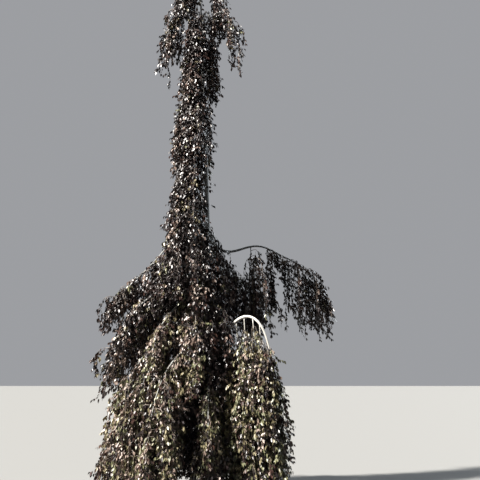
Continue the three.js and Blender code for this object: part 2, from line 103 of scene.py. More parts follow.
@dataclass
class Limb:
    """A limb leaves the trunk at height `start`, is drawn up to `over` and out to `reach`, and ends at `low`.

    It swings sideways by `turn`, its end is drawn in by `tuck`, and its first half dips by `sag`. Up to
    `share` of its length it is a bare bough of radius `girth`. The rest tells how its twigs hang: how far
    they spread, how far below `low` they trail, how many there are, what share of their finer twigs they
    have, which mix of leaf colours they bear and from what share of the limb's length on they grow. Its
    `name` is also that of its solids, where it has any.
    """

    name: str
    start: float
    azimuth: float
    reach: float
    over: float
    low: float
    turn: float = 0
    tuck: float = 1
    sag: float = 0.02
    share: float = 0
    girth: float = 0.016
    spread: float = 0.22
    trail: float = 0
    strands: int = 15
    fullness: float = 1
    tint: str = "purple"
    leafy_from: float = 0.35

    def line(self, t):
        t = np.asarray(t, float)
        out = cubic(t, 0, TURN_OVER * self.reach, self.reach, self.reach * self.tuck)
        half = np.minimum(2 * t, 1)
        dip = self.sag * (1 - half) * np.sin(2 * np.pi * half)
        points = direction(self.azimuth + self.turn * t) * out[..., None]
        points[..., :2] += trunk_axis(self.start)[:2]
        points[..., 2] = cubic(t, self.start, self.over, self.over, self.low) - dip
        return points


@dataclass
class Hanger:
    """A stem that hangs from a place on its carrier down to `low`, with a slight bow and a crook."""

    name: str
    carrier: Limb
    place: float
    low: float
    spread: float = 0.22
    trail: float = 0
    strands: int = 15
    fullness: float = 1
    tint: str = "purple"
    leafy_from: float = 0.2
    share: float = 0
    bow: float = 0.045

    @property
    def azimuth(self):
        return self.carrier.azimuth

    def line(self, t):
        t = np.asarray(t, float)
        top = self.carrier.line(self.place)
        crook = HANGER["crook"] * np.sin(HANGER["crooks"] * np.pi * t)
        points = top + direction(self.azimuth + 90) * (self.bow * np.sin(np.pi * t))[..., None]
        points += direction(self.azimuth) * (self.bow * crook)[..., None]
        points[..., 2] = lerp(top[2], self.low, t)
        return points


# What limbs and hangers of one kind share.
SHOULDER = {"share": 0.2, "girth": 0.024, "spread": 0.38, "strands": 22}
COPPER_SHOULDER = SHOULDER | {"tint": "copper"}
SKIRT = {"share": 0.22, "girth": 0.027, "spread": 0.44, "trail": 0.2, "strands": 26, "tint": "copper"}
NARROW_SKIRT = SKIRT | {"spread": 0.19, "strands": 16}
CURTAIN = {"tint": "bronze", "leafy_from": 0.04}
DROPPER = {"spread": 0.16, "leafy_from": 0.13, "strands": 18, "tint": "bronze", "bow": 0.02}

# A leafy stem, and how many points stand for it, for the bare bough before it, and for the space round it.
STEM = {"radius": 0.013, "tip_radius": 0.004, "points": 25, "bare_points": 17, "space_points": 15}
# A hanger's crook is a wave across its bow, `crook` times as wide as that, with `crooks` bends.
HANGER = {"radius": 0.008, "tip_radius": 0.003, "sides": 6, "crook": 0.3, "crooks": 3}
TWIG_SIDES = 3

# A strand leaves its stem to one side, runs out and hangs. `knee`, `bend` and `tip` draw its line, as shares
# of how far it runs out. Where the space is narrow it is drawn in by the shares in `draw_in`, one after the
# other, until `wanted` of its length is clear at `checks` points, and dropped if less than `shortest` is.
STRAND = {
    "radius": 0.0055,
    "tip_radius": 0.0014,
    "last_place": 0.97,
    "jitter": 0.9,
    "headings": (25, 125),
    "widths": (0.12, 1.0),
    "falls": (0.62, 1.06),
    "shortest_fall": 0.3,
    "knee": (0.6, 0.2),
    "bend": (1.0, 0.1),
    "tip": 1.05,
    "draw_in": (1.0, 0.7, 0.45, 0.25),
    "checks": 16,
    "wanted": 0.85,
    "shortest": 0.3,
    "segments": 9,
    "bare": 0.06,
}

# Finer twigs hang from the strands in the same way, several to a strand, and make its bundle.
SPRIG = {
    "radius": 0.0022,
    "tip_radius": 0.0009,
    "per_strand": 5,
    "widths": (0.03, 0.15),
    "falls": (0.35, 1.0),
    "shortest_fall": 0.22,
    "segments": 4,
    "bare": 0.03,
}
# How far twigs sway to the side as they hang, and in how many waves.
WOBBLE = {"strand": 0.014, "sprig": 0.010, "waves": (1.5, 3.5)}

# How far a twig may hang into the space nearer another stem.
OVERLAP = 0.10
# How far twigs stay from bare limbs, from the ground and inside the sides of the tree's box.
LIMB_MARGIN = 0.014
GROUND_CLEARANCE = 0.05
BOX_MARGIN = 0.03
# A twig may touch a limb this near its own stem, where it grows from it.
ROOT_REACH = 0.039
# How many points are measured against all lines at a time.
BATCH = 4000
# Keeps lengths that are divided by above zero.
TINY = 1e-12
# A line is steep where it climbs or falls by more than this share of its length.
STEEP = 0.9

# A leaf hangs from its twig at each node, or a short side twig with its own leaves does.
LEAF = {
    "length": 0.056,
    "width": 0.030,
    "sizes": (0.7, 1.15),
    "lean": (6, 52),
    "twist": 65,
    "spread": 80,
    "curl": (0.05, 0.20),
    "fold": (0.03, 0.16),
    "clearance": 0.015,
}
# The nodes along a twig are this far apart, and each is set back by up to a share of that.
NODE_SPACING = 0.031
NODE_JITTER = 0.5
SIDE_TWIG = {
    "chance": 0.3,
    "length": (0.045, 0.12),
    "radius": 0.0012,
    "droop": (8, 55),
    "headings": (20, 110),
    "swing": 45,
    "wander": 25,
    "places": (0.25, 0.46, 0.66, 0.84, 1.0),
}

# The outline of a blade by shares of its length and width, from the base round by the left. It folds along
# the line from base to tip.
BLADE = np.array([(0, 0), (0.30, -0.46), (0.70, -0.38), (1, 0), (0.44, 0.52)])
BLADE_FACES = np.array([(0, 1, 2), (0, 2, 3), (0, 3, 4)])
# The most leaves that are joined in one piece.
LEAVES_PER_PIECE = 60000
# A spike's faces: three sides from its foot's corners to its point, and the foot.
SPIKE_FACES = np.array([(0, 1, 3), (1, 2, 3), (2, 0, 3), (0, 2, 1)])
# The leaves at a few nodes in a row share a tint: half the sprays take their twig's, and half their own.
SPRAY = {"nodes": 5, "own_tint": 0.5}

# Plain leaf colours, each with a second one that it is mottled with.
TINTS = {
    "plum": ((0.014, 0.0095, 0.0095), (0.029, 0.019, 0.019)),
    "wine": ((0.046, 0.023, 0.019), (0.084, 0.045, 0.035)),
    "rose": ((0.236, 0.168, 0.138), (0.405, 0.324, 0.274)),
    "bronze": ((0.172, 0.144, 0.079), (0.298, 0.260, 0.158)),
    "olive": ((0.122, 0.122, 0.062), (0.225, 0.222, 0.126)),
}
# What share of the leaves has each tint, in the mixes that limbs bear.
MIXES = {
    "purple": {"plum": 0.62, "wine": 0.20, "rose": 0.13, "bronze": 0.03, "olive": 0.02},
    "copper": {"plum": 0.28, "wine": 0.15, "rose": 0.25, "bronze": 0.18, "olive": 0.14},
    "bronze": {"plum": 0.25, "wine": 0.11, "rose": 0.18, "bronze": 0.22, "olive": 0.24},
}
# A slot name for each tint.
LEAF_SLOTS = {
    "plum": "foliage_purple",
    "wine": "foliage_purple",
    "rose": "foliage_copper",
    "bronze": "foliage_bronze",
    "olive": "foliage_bronze",
}
# The detail of the noise in a mottle that has none of its own.
MOTTLE_DETAIL = 4
LEAF_LOOK = {
    "roughness": 0.36,
    "specular": 0.6,
    "mottle_scale": 14,
    "mottle_stops": (0.38, 0.62),
    "vein_scale": 160,
    "vein_stops": (0.3, 0.7),
    "vein_detail": 2,
    "bump": 0.25,
    "depth": 0.002,
}
# The bark of the trunk and most boughs, and the far paler one of the arch.
BARKS = {
    "bark": {
        "colors": ((0.24, 0.245, 0.235), (0.38, 0.385, 0.37), (0.54, 0.545, 0.525)),
        "roughness": 0.72,
    },
    "pale_bark": {
        "colors": ((0.52, 0.50, 0.45), (0.70, 0.68, 0.63), (0.84, 0.82, 0.77)),
        "roughness": 0.6,
    },
}
BARK_LOOK = {
    "cloud_scale": 5,
    "cloud_stops": (0.3, 0.52, 0.72),
    "tick_scale": 16,
    "tick_stops": (0.60, 0.70),
    "tick_color": (0.62, 0.60, 0.56),
    "tick_stretch": (1, 1, 5),
    "tick_mix": 0.8,
    "grain_scale": 60,
    "grain_stops": (0.2, 0.8),
    "grain_stretch": (1, 1, 4),
    "bump": 0.5,
    "depth": 0.004,
}
TWIG_LOOK = {
    "colors": ((0.14, 0.11, 0.09), (0.32, 0.27, 0.23)),
    "scale": 10,
    "stops": (0.35, 0.65),
    "roughness": 0.6,
}
BLACK, WHITE = (0, 0, 0), (1, 1, 1)


# Curves, the shape of the trunk, and the limbs


def lerp(a, b, t):
    return a + (b - a) * t


def cubic(t, a, b, c, d):
    s = 1 - t
    return s**3 * a + 3 * s**2 * t * b + 3 * s * t**2 * c + t**3 * d


def direction(azimuth):
    """Level unit vectors towards azimuths in degrees."""
    angle = np.radians(azimuth)
    return np.stack([np.cos(angle), np.sin(angle), np.zeros_like(angle)], axis=-1)


def trunk_axis(z):
    """Points on the middle line of the trunk at the heights `z`, with its lean and its bend."""
    share = np.asarray(z, float) / TRUNK["height"]
    bend = TRUNK["sway"] * np.sin(2 * np.pi * share)
    points = direction(TRUNK["sway_azimuth"]) * bend[..., None]
    points[..., 0] += TRUNK["lean"] * share**3
    points[..., 2] = z
    return points


def trunk_radius(z, angle=0.0):
    """The trunk's radius with its taper and its lobed root flare."""
    share = np.minimum(z / TRUNK["height"], 1) ** TRUNK["taper"]
    stem = lerp(TRUNK["foot_radius"], TRUNK["tip_radius"], share)
    lobe = 1 + TRUNK["lobe_depth"] * np.cos(TRUNK["lobes"] * angle)
    return stem + TRUNK["flare"] * np.exp(-z / TRUNK["flare_height"]) * lobe


# Tiers of limbs hug the trunk's left, front and back, and leave its right side bare. A tier has its limbs'
# height at the trunk, their lowest height, reach and spread, and their azimuths. Every other limb starts a
# little higher, and each rises a little before it turns over.
COLUMN_TIERS = {
    "upper": (6.25, 4.95, 0.33, 0.17, (105, 155, 205, 255)),
    "middle": (5.62, 4.5, 0.3, 0.16, (130, 180, 226)),
    "lower": (5.05, 3.5, 0.42, 0.30, (128, 165, 202, 238)),
}
COLUMN_STAGGER = 0.07
COLUMN_RISE = 0.11


def column_limbs():
    for tier, (start, low, reach, spread, azimuths) in COLUMN_TIERS.items():
        for i, azimuth in enumerate(azimuths):
            foot = start + COLUMN_STAGGER * (i % 2)
            over = start + COLUMN_RISE
            yield Limb(f"column_{tier}_{i + 1}", foot, azimuth, reach, over, low, spread=spread)


ARCH = Limb(
    "arch", 1.75, 314, 1.4, 2.87, 0.33, turn=16, tuck=0.7, share=0.65, girth=0.031, spread=0.21,
    strands=20, tint="bronze",
)
RIGHT_OUTER = Limb(
    "right_outer", 3.7, 22, 2.0, 3.62, 2.7, sag=0.18, share=0.36, girth=0.024, spread=0.38, trail=0.35,
    strands=36, fullness=0.25,
)
# Each limb's name, start, azimuth, reach, over and low.
LIMBS = [
    Limb("crown_tip", 8.26, 165, 0.2, 8.78, 7.75, sag=0),
    Limb("crown_high_left", 7.85, 205, 0.42, 8.25, 7.15, trail=-0.12, fullness=0.5),
    Limb("crown_high_right", 7.9, 10, 0.38, 8.25, 7.2, strands=12, fullness=0.5),
    Limb("crown_left", 7.3, 188, 0.64, 7.7, 6.62, tuck=0.85, spread=0.17, fullness=0.4, trail=-0.1),
    Limb("crown_right", 7.35, 350, 0.64, 7.78, 6.5, strands=12, fullness=0.3, trail=-0.45),
    Limb("crown_middle", 7.5, 338, 0.2, 7.72, 6.6, spread=0.13, strands=9, fullness=0.3),
    Limb("crown_front", 7.42, 255, 0.34, 7.69, 6.1, spread=0.17, trail=0.2, fullness=0.6),
    Limb("crown_back", 7.37, 112, 0.4, 7.6, 6.1, spread=0.17, trail=0.2, fullness=0.4),
    Limb("crown_front_right", 7.0, 325, 0.24, 7.15, 6.0, spread=0.12, fullness=0.4),
    *column_limbs(),
    Limb("left_shoulder", 4.7, 184, 1.34, 3.06, 2.56, **SHOULDER),
    Limb("left_arch", 3.35, 192, 1.37, 2.82, 1.6, **(SHOULDER | {"share": 0.4})),
    Limb("left_inner", 4.15, 207, 0.66, 3.9, 2.8, spread=0.34, trail=0.3, strands=24),
    Limb("left_middle", 3.15, 214, 1.02, 2.56, 1.15, **COPPER_SHOULDER),
    Limb("front_upper", 4.05, 264, 0.42, 4.0, 1.95, spread=0.3, trail=0.3, strands=20),
    Limb("front_middle", 3.0, 243, 0.56, 2.9, 1.45, **(COPPER_SHOULDER | {"spread": 0.32})),
    Limb("front_right", 3.75, 325, 0.27, 3.8, 2.15, spread=0.24, strands=20),
    Limb("front_low", 3.1, 290, 0.44, 3.05, 1.75, spread=0.26, trail=0.3, strands=20),
    Limb("right_inner", 3.45, 50, 0.85, 3.45, 2.35, fullness=0.5, **SHOULDER),
    RIGHT_OUTER,
    Limb("back_inner", 4.2, 165, 0.4, 4.1, 1.6, spread=0.3, strands=20),
    Limb("back_left", 3.95, 150, 1.15, 3.3, 1.8, **SHOULDER),
    Limb("back_middle", 3.5, 100, 0.9, 3.3, 1.8, **SHOULDER),
    Limb("skirt_left", 2.85, 203, 1.33, 2.15, 0.33, **SKIRT),
    Limb("skirt_front_left", 2.25, 232, 1.18, 1.95, 0.3, **SKIRT),
    Limb("skirt_front", 1.72, 274, 0.82, 1.62, 0.28, leafy_from=0.24, **NARROW_SKIRT),
    Limb("skirt_right", 2.3, 4, 0.74, 2.05, 0.33, **SKIRT),
    Limb("skirt_back_right", 2.05, 53, 1.06, 1.85, 0.31, **SKIRT),
    Limb("skirt_back", 2.3, 96, 1.02, 1.95, 0.3, **SKIRT),
    Limb("skirt_back_left", 2.1, 134, 1.22, 1.9, 0.33, **SKIRT),
    Limb("skirt_far_left", 2.5, 169, 1.28, 2.05, 0.33, **SKIRT),
    Limb("skirt_inner", 1.95, 264, 0.36, 1.9, 0.33, spread=0.3, strands=20),
    ARCH,
]
# Thin pale twigs hang from the arch into the curtains below it, by their places along it.
DROPPER_PLACES = (0.37, 0.54)
# Each hanger's name, carrier, place along it and low.
HANGERS = [
    Hanger("arch_curtain_1", ARCH, 0.29, 0.3, strands=26, **(CURTAIN | {"leafy_from": 0.12})),
    Hanger("arch_curtain_2", ARCH, 0.46, 0.36, strands=26, **CURTAIN),
    Hanger("arch_curtain_3", ARCH, 0.2, 0.5, strands=22, **CURTAIN),
    Hanger(
        "right_middle", RIGHT_OUTER, 0.26, 2.5, spread=0.5, trail=0.25, leafy_from=0.05, strands=24,
        fullness=0.2,
    ),
    Hanger("right_gap", RIGHT_OUTER, 0.37, 2.6, spread=0.35, leafy_from=0.05, strands=12, fullness=0.25),
    *(Hanger(f"dropper_{place}", ARCH, place, 1.1, **DROPPER) for place in DROPPER_PLACES),
]


# The growth of twigs and leaves


@dataclass
class Twigs:
    """A batch of twigs of one order: the points of each, and the stem whose space it is in.

    They thin from `radius` to `tip_radius`, and bear no leaves on the first `bare` of their length.
    """

    points: np.ndarray
    stem: np.ndarray
    radius: float
    tip_radius: float
    bare: float


class Space:
    """Tells whose space a place is in, and whether it is clear of bare limbs and inside the tree's box."""

    def __init__(self, stem_lines, bare_lines, bare_radii, box):
        self.stems = stem_lines
        self.bare_lines = bare_lines
        self.bare_radii = bare_radii
        self.low = np.array(box[0]) + (BOX_MARGIN, BOX_MARGIN, GROUND_CLEARANCE)
        self.high = np.array(box[1]) - (BOX_MARGIN, BOX_MARGIN, 0)

    def blocked(self, points, stem, reach):
        """Whether each place is beyond its own stem's space, or too near a limb that doesn't carry it."""
        outside = ((points < self.low) | (points > self.high)).any(axis=1)
        away = line_distances(points, self.stems)
        own = away[np.arange(len(points)), stem]
        foreign = away.min(axis=1) < own - OVERLAP
        axis = trunk_axis(np.clip(points[:, 2], 0, TRUNK["height"]))
        trunk = np.linalg.norm(points - axis, axis=1) < trunk_radius(axis[:, 2]) + reach + LIMB_MARGIN
        limbs = line_distances(points, self.bare_lines) < self.bare_radii + reach + LIMB_MARGIN
        touches = (trunk | limbs.any(axis=1)) & (own > ROOT_REACH)
        return outside | foreign | touches


def line_distances(points, lines):
    """The distance from each point to each of several lines of equally many points."""
    starts = lines[:, :-1].reshape(-1, 3)
    runs = (lines[:, 1:] - lines[:, :-1]).reshape(-1, 3)
    lengths = np.maximum((runs**2).sum(axis=1), TINY)
    found = []
    for first in range(0, len(points), BATCH):
        part = points[first : first + BATCH]
        along = part @ runs.T - (starts * runs).sum(axis=1)
        share = np.clip(along / lengths, 0, 1)
        square = (part**2).sum(axis=1)[:, None] - 2 * part @ starts.T + (starts**2).sum(axis=1)
        square = square - 2 * share * along + share**2 * lengths
        found.append(square.reshape(len(part), len(lines), -1).min(axis=2))
    return np.sqrt(np.maximum(np.concatenate(found), 0))


def strand_points(top, heading, width, fall, t):
    """Points at the shares `t` along strands that leave `top`, run out by `width` and hang by `fall`."""
    away = direction(heading) * width[:, None]
    up = np.zeros_like(away)
    up[:, 2] = 1
    knee_out, knee_up = STRAND["knee"]
    bend_out, bend_up = STRAND["bend"]
    knee = top + away * knee_out + up * (width * knee_up)[:, None]
    bend = top + away * bend_out + up * (width * bend_up)[:, None]
    tip = top + away * STRAND["tip"] - up * fall[:, None]
    return cubic(t[..., None], *(place[:, None, :] for place in (top, knee, bend, tip)))


def clear_share(space, top, heading, width, fall, stem):
    """How much of each strand stays in its own space, clear of every limb."""
    checks = STRAND["checks"]
    t = np.tile(np.arange(1, checks + 1) / checks, (len(top), 1))
    points = strand_points(top, heading, width, fall, t).reshape(-1, 3)
    owner = np.repeat(stem, checks)
    bad = space.blocked(points, owner, STRAND["radius"]).reshape(-1, checks)
    first = np.where(bad.any(axis=1), bad.argmax(axis=1), checks)
    return first / checks


def hang(space, rng, top, heading, width, fall, stem, shape, wobble):
    """Twigs that leave `top` and hang, drawn in where their space is narrow and cut where it ends."""
    clear = np.zeros(len(top))
    chosen = width.copy()
    cramped = np.ones(len(top), bool)
    for share in STRAND["draw_in"]:
        rows = np.flatnonzero(cramped)
        if not len(rows):
            break
        tried = clear_share(space, top[rows], heading[rows], share * width[rows], fall[rows], stem[rows])
        chosen[rows] = share * width[rows]
        clear[rows] = tried
        cramped[rows] = tried <= STRAND["wanted"]
    kept = clear > STRAND["shortest"]
    top, heading, chosen, fall, stem, clear = (
        values[kept] for values in (top, heading, chosen, fall, stem, clear)
    )
    steps = np.linspace(0, 1, shape["segments"] + 1)
    points = strand_points(top, heading, chosen, fall, clear[:, None] * steps)
    waves = rng.uniform(*WOBBLE["waves"], (2, len(top), 1))
    phases = rng.uniform(0, 2 * np.pi, (2, len(top), 1))
    sway = wobble * (np.sin(waves * 2 * np.pi * steps + phases) - np.sin(phases)) * np.sqrt(steps)
    points[..., 0] += sway[0]
    points[..., 1] += sway[1]
    return Twigs(points, stem, shape["radius"], shape["tip_radius"], shape["bare"])


def grow_strands(space, stems, rng):
    """Strands leave each stem beyond where it turns leafy, to alternate sides."""
    tops, headings, widths, falls, owners = [], [], [], [], []
    for index, limb in enumerate(stems):
        count = limb.strands
        share = (np.arange(count) + STRAND["jitter"] * rng.random(count)) / count
        start = max(limb.leafy_from, limb.share)
        top = limb.line(lerp(start, STRAND["last_place"], share))
        side = np.where(np.arange(count) % 2, 1, -1)
        tops.append(top)
        headings.append(limb.azimuth + side * rng.uniform(*STRAND["headings"], count))
        widths.append(limb.spread * rng.uniform(*STRAND["widths"], count))
        drop = (top[:, 2] - limb.low + limb.trail) * rng.uniform(*STRAND["falls"], count)
        falls.append(np.maximum(drop, STRAND["shortest_fall"]))
        owners.append(np.full(count, index))
    found = (np.concatenate(values) for values in (tops, headings, widths, falls, owners))
    return hang(space, rng, *found, STRAND, WOBBLE["strand"])


def grow_sprigs(space, stems, strands, rng):
    """Finer twigs leave each strand in every direction and hang beside it."""
    count = SPRIG["per_strand"]
    places = (np.arange(count) + rng.random((len(strands.points), count))) / count
    last = strands.points.shape[1] - 1
    at = places.ravel() * last
    below = np.minimum(at.astype(int), last - 1)
    rows = np.repeat(np.arange(len(strands.points)), count)
    fullness = np.array([limb.fullness for limb in stems])[strands.stem[rows]]
    kept = rng.random(len(rows)) < fullness
    at, below, rows = at[kept], below[kept], rows[kept]
    top = lerp(strands.points[rows, below], strands.points[rows, below + 1], (at - below)[:, None])
    stem = strands.stem[rows]
    low = np.array([limb.low - limb.trail for limb in stems])[stem]
    fall = np.maximum((top[:, 2] - low) * rng.uniform(*SPRIG["falls"], len(top)), SPRIG["shortest_fall"])
    heading = rng.uniform(0, 360, len(top))
    width = rng.uniform(*SPRIG["widths"], len(top))
    return hang(space, rng, top, heading, width, fall, stem, SPRIG, WOBBLE["sprig"])


def stem_twigs(stems):
    """The stems' own leafy ends, as a batch that is drawn with the bark and only carries leaves."""
    starts = [max(limb.leafy_from, limb.share) for limb in stems]
    points = np.array(
        [limb.line(np.linspace(start, 1, STEM["points"])) for limb, start in zip(stems, starts)]
    )
    return Twigs(points, np.arange(len(stems)), STEM["radius"], STEM["tip_radius"], 0)


def find_nodes(twigs, rng):
    """The nodes along each twig: their places, twig numbers and counts along it."""
    places, owners, orders = [], [], []
    for row, points in enumerate(twigs.points):
        along = np.r_[0, np.cumsum(np.linalg.norm(np.diff(points, axis=0), axis=1))]
        count = int((1 - twigs.bare) * along[-1] / NODE_SPACING)
        if not count:
            continue
        at = along[-1] - NODE_SPACING * (np.arange(count) + NODE_JITTER * rng.random(count))
        places.append(np.stack([np.interp(at, along, points[:, axis]) for axis in range(3)], axis=-1))
        owners.append(np.full(count, row))
        orders.append(np.arange(count))
    return np.concatenate(places), np.concatenate(owners), np.concatenate(orders)


def outward_azimuth(places):
    """The azimuth of each place, seen from the trunk at its height."""
    away = places - trunk_axis(places[:, 2])
    return np.degrees(np.arctan2(away[:, 1], away[:, 0]))


def deal_tints(mixes, stem, rng):
    """The number of a tint for each entry, drawn from the mix of its stem."""
    shares = np.cumsum(mixes, axis=1)[stem]
    return (rng.random(len(stem))[:, None] > shares).sum(axis=1).clip(0, len(TINTS) - 1)


@dataclass
class Leaves:
    """Leaves by where they hang, the azimuth they face and the number of their tint."""

    roots: np.ndarray
    azimuth: np.ndarray
    tint: np.ndarray


def dress(twigs, mixes, rng):
    """Leaves at the nodes of a batch of twigs, and side twigs with leaves of their own."""
    places, owner, order = find_nodes(twigs, rng)
    stem = twigs.stem[owner]
    twig_tint = deal_tints(mixes, twigs.stem, rng)[owner]
    spray = owner * (order.max() + 1) + order // SPRAY["nodes"]
    _, spray_row = np.unique(spray, return_inverse=True)
    spray_stem = np.zeros(spray_row.max() + 1, int)
    spray_stem[spray_row] = stem
    own_tint = deal_tints(mixes, spray_stem, rng)
    keeps = rng.random(len(own_tint)) < SPRAY["own_tint"]
    tint = np.where(keeps[spray_row], own_tint[spray_row], twig_tint)
    azimuth = outward_azimuth(places) + rng.uniform(-LEAF["spread"], LEAF["spread"], len(places))

    branching = rng.random(len(places)) < SIDE_TWIG["chance"]
    rows = np.flatnonzero(branching)
    side = np.where(order[rows] % 2, 1, -1)
    heading = outward_azimuth(places[rows]) + side * rng.uniform(*SIDE_TWIG["headings"], len(rows))
    droop = np.radians(rng.uniform(*SIDE_TWIG["droop"], len(rows)))
    run = direction(heading) * np.cos(droop)[:, None]
    run[:, 2] = -np.sin(droop)
    run *= rng.uniform(*SIDE_TWIG["length"], len(rows))[:, None]
    above = places[rows, 2] + run[:, 2] > LEAF["clearance"]
    rows, heading, run = rows[above], heading[above], run[above]
    side_twigs = np.stack([places[rows], places[rows] + run], axis=1)

    leaves = [Leaves(places[~branching], azimuth[~branching], tint[~branching])]
    for turn, share in enumerate(SIDE_TWIG["places"]):
        swing = (1 if turn % 2 else -1) * SIDE_TWIG["swing"] * (share < 1)
        turned = heading + swing + rng.uniform(-SIDE_TWIG["wander"], SIDE_TWIG["wander"], len(rows))
        leaves.append(Leaves(places[rows] + share * run, turned, tint[rows]))
    return leaves, side_twigs


def blade_points(leaves, rng):
    """The corners of every leaf's blade, without the leaves that would reach the ground."""
    count = len(leaves.roots)
    lean = np.radians(rng.uniform(*LEAF["lean"], count))[:, None]
    twist = np.radians(rng.uniform(-LEAF["twist"], LEAF["twist"], count))[:, None]
    size, curl, fold = (
        rng.uniform(*LEAF[name], count)[:, None, None] for name in ("sizes", "curl", "fold")
    )
    out = direction(leaves.azimuth)
    up = np.array([0.0, 0.0, 1.0])
    along = np.sin(lean) * out - np.cos(lean) * up
    face = np.cos(lean) * out + np.sin(lean) * up
    across = np.cross(face, along)
    across, face = (
        np.cos(twist) * across + np.sin(twist) * face,
        np.cos(twist) * face - np.sin(twist) * across,
    )
    # The halves of a blade fold up beside its middle line, and all of it curls back towards its tip.
    length = LEAF["length"] * BLADE[:, 0][None, :, None]
    width = LEAF["width"] * BLADE[:, 1][None, :, None]
    lift = 2 * fold * np.abs(width) - curl * length**2 / LEAF["length"]
    blade = length * along[:, None] + width * across[:, None] + lift * face[:, None]
    points = leaves.roots[:, None] + size * blade
    return points[points[..., 2].min(axis=1) > LEAF["clearance"]]


# Meshes


def make_mesh(name, points, faces):
    """An object from an array of points and one of triangles."""
    mesh = bpy.data.meshes.new(name)
    mesh.vertices.add(len(points))
    mesh.vertices.foreach_set("co", points.astype(np.float32).ravel())
    mesh.loops.add(faces.size)
    mesh.loops.foreach_set("vertex_index", faces.astype(np.int32).ravel())
    mesh.polygons.add(len(faces))
    mesh.polygons.foreach_set("loop_start", np.arange(0, faces.size, 3, dtype=np.int32))
    mesh.polygons.foreach_set("use_smooth", np.ones(len(faces), bool))
    mesh.update(calc_edges=True)
    piece = bpy.data.objects.new(name, mesh)
    bpy.context.scene.collection.objects.link(piece)
    return piece


def tube_frames(points):
    """Two directions across each of a batch of lines at each of its points, carried along without twist."""
    ahead = np.gradient(points, axis=1)
    ahead /= np.linalg.norm(ahead, axis=2, keepdims=True) + TINY
    steep = np.abs(ahead[:, 0, 2:]) > STEEP
    helper = np.where(steep, [[1.0, 0.0, 0.0]], [[0.0, 0.0, 1.0]])
    first = np.cross(ahead[:, 0], helper)
    normals = []
    for step in range(points.shape[1]):
        tangent = ahead[:, step]
        first = first - (first * tangent).sum(axis=1, keepdims=True) * tangent
        first /= np.linalg.norm(first, axis=1, keepdims=True) + TINY
        normals.append(first)
    normals = np.stack(normals, axis=1)
    return normals, np.cross(ahead, normals)


def tube_points(points, radii, sides):
    """The points of tubes round a batch of lines, by line and ring."""
    normals, others = tube_frames(points)
    angle = 2 * np.pi * np.arange(sides) / sides
    ring = np.cos(angle)[:, None] * normals[:, :, None] + np.sin(angle)[:, None] * others[:, :, None]
    return points[:, :, None] + radii[..., None, None] * ring


def tube_faces(lines, rings, sides):
    """Triangles for a batch of closed tubes of equally many rings."""
    ring, side = np.meshgrid(np.arange(rings - 1), np.arange(sides), indexing="ij")
    here = ring * sides + side
    beside = ring * sides + (side + 1) % sides
    walls = np.stack([here, beside, beside + sides, here, beside + sides, here + sides], axis=-1)
    turn = np.arange(1, sides - 1)
    foot = np.stack([0 * turn, turn + 1, turn], axis=-1)
    tip = (rings - 1) * sides + np.stack([0 * turn, turn, turn + 1], axis=-1)
    tube = np.concatenate([walls.reshape(-1, 3), foot, tip])
    return (tube + rings * sides * np.arange(lines)[:, None, None]).reshape(-1, 3)


def tube_piece(name, lines, radii, sides):
    """One joined mesh of tubes along a batch of lines, given the radii at their points."""
    points = tube_points(lines, radii, sides).reshape(-1, 3)
    return make_mesh(name, points, tube_faces(*radii.shape, sides))


def even_taper(radius, tip_radius, lines):
    """Radii that thin evenly along each of a batch of lines."""
    count, rings, _ = lines.shape
    return np.tile(np.linspace(radius, tip_radius, rings), (count, 1))


def twig_piece(name, twigs):
    """One joined mesh of a batch of twigs."""
    radii = even_taper(twigs.radius, twigs.tip_radius, twigs.points)
    return tube_piece(name, twigs.points, radii, TWIG_SIDES)


def hanger_piece(name, carrier):
    """The stems that hang from one carrier."""
    steps = np.linspace(0, 1, STEM["points"])
    lines = np.array([hanger.line(steps) for hanger in HANGERS if hanger.carrier is carrier])
    return tube_piece(name, lines, even_taper(HANGER["radius"], HANGER["tip_radius"], lines), HANGER["sides"])


def spike_piece(name, runs):
    """One joined mesh of the side twigs, each a three-sided spike that ends in a point."""
    radii = np.full((len(runs), 2), SIDE_TWIG["radius"])
    roots = tube_points(runs, radii, TWIG_SIDES)[:, 0]
    points = np.concatenate([roots, runs[:, 1:]], axis=1)
    faces = SPIKE_FACES + points.shape[1] * np.arange(len(runs))[:, None, None]
    return make_mesh(name, points.reshape(-1, 3), faces.reshape(-1, 3))


def leaf_pieces(leaves, rng):
    """Joined meshes of leaves, one or more for each tint."""
    made = []
    for number, tint in enumerate(TINTS):
        rows = np.flatnonzero(leaves.tint == number)
        parts = math.ceil(len(rows) / LEAVES_PER_PIECE)
        for part, chosen in enumerate(np.array_split(rows, max(parts, 1))):
            those = Leaves(leaves.roots[chosen], leaves.azimuth[chosen], leaves.tint[chosen])
            points = blade_points(those, rng)
            faces = BLADE_FACES + len(BLADE) * np.arange(len(points))[:, None, None]
            name = f"leaves_{tint}_{part + 1}"
            made.append((tint, make_mesh(name, points.reshape(-1, 3), faces.reshape(-1, 3))))
    return made


def relief(points):
    """How far the bark stands out at each point."""
    lumps = np.array([noise.noise(Vector(point * LUMPS["scale"])) for point in points])
    squeeze = np.array([1, 1, WRINKLES["rise"]]) * WRINKLES["scale"]
    wrinkles = np.array([noise.noise(Vector(point * squeeze)) for point in points])
    return LUMPS["height"] * lumps + WRINKLES["height"] * wrinkles


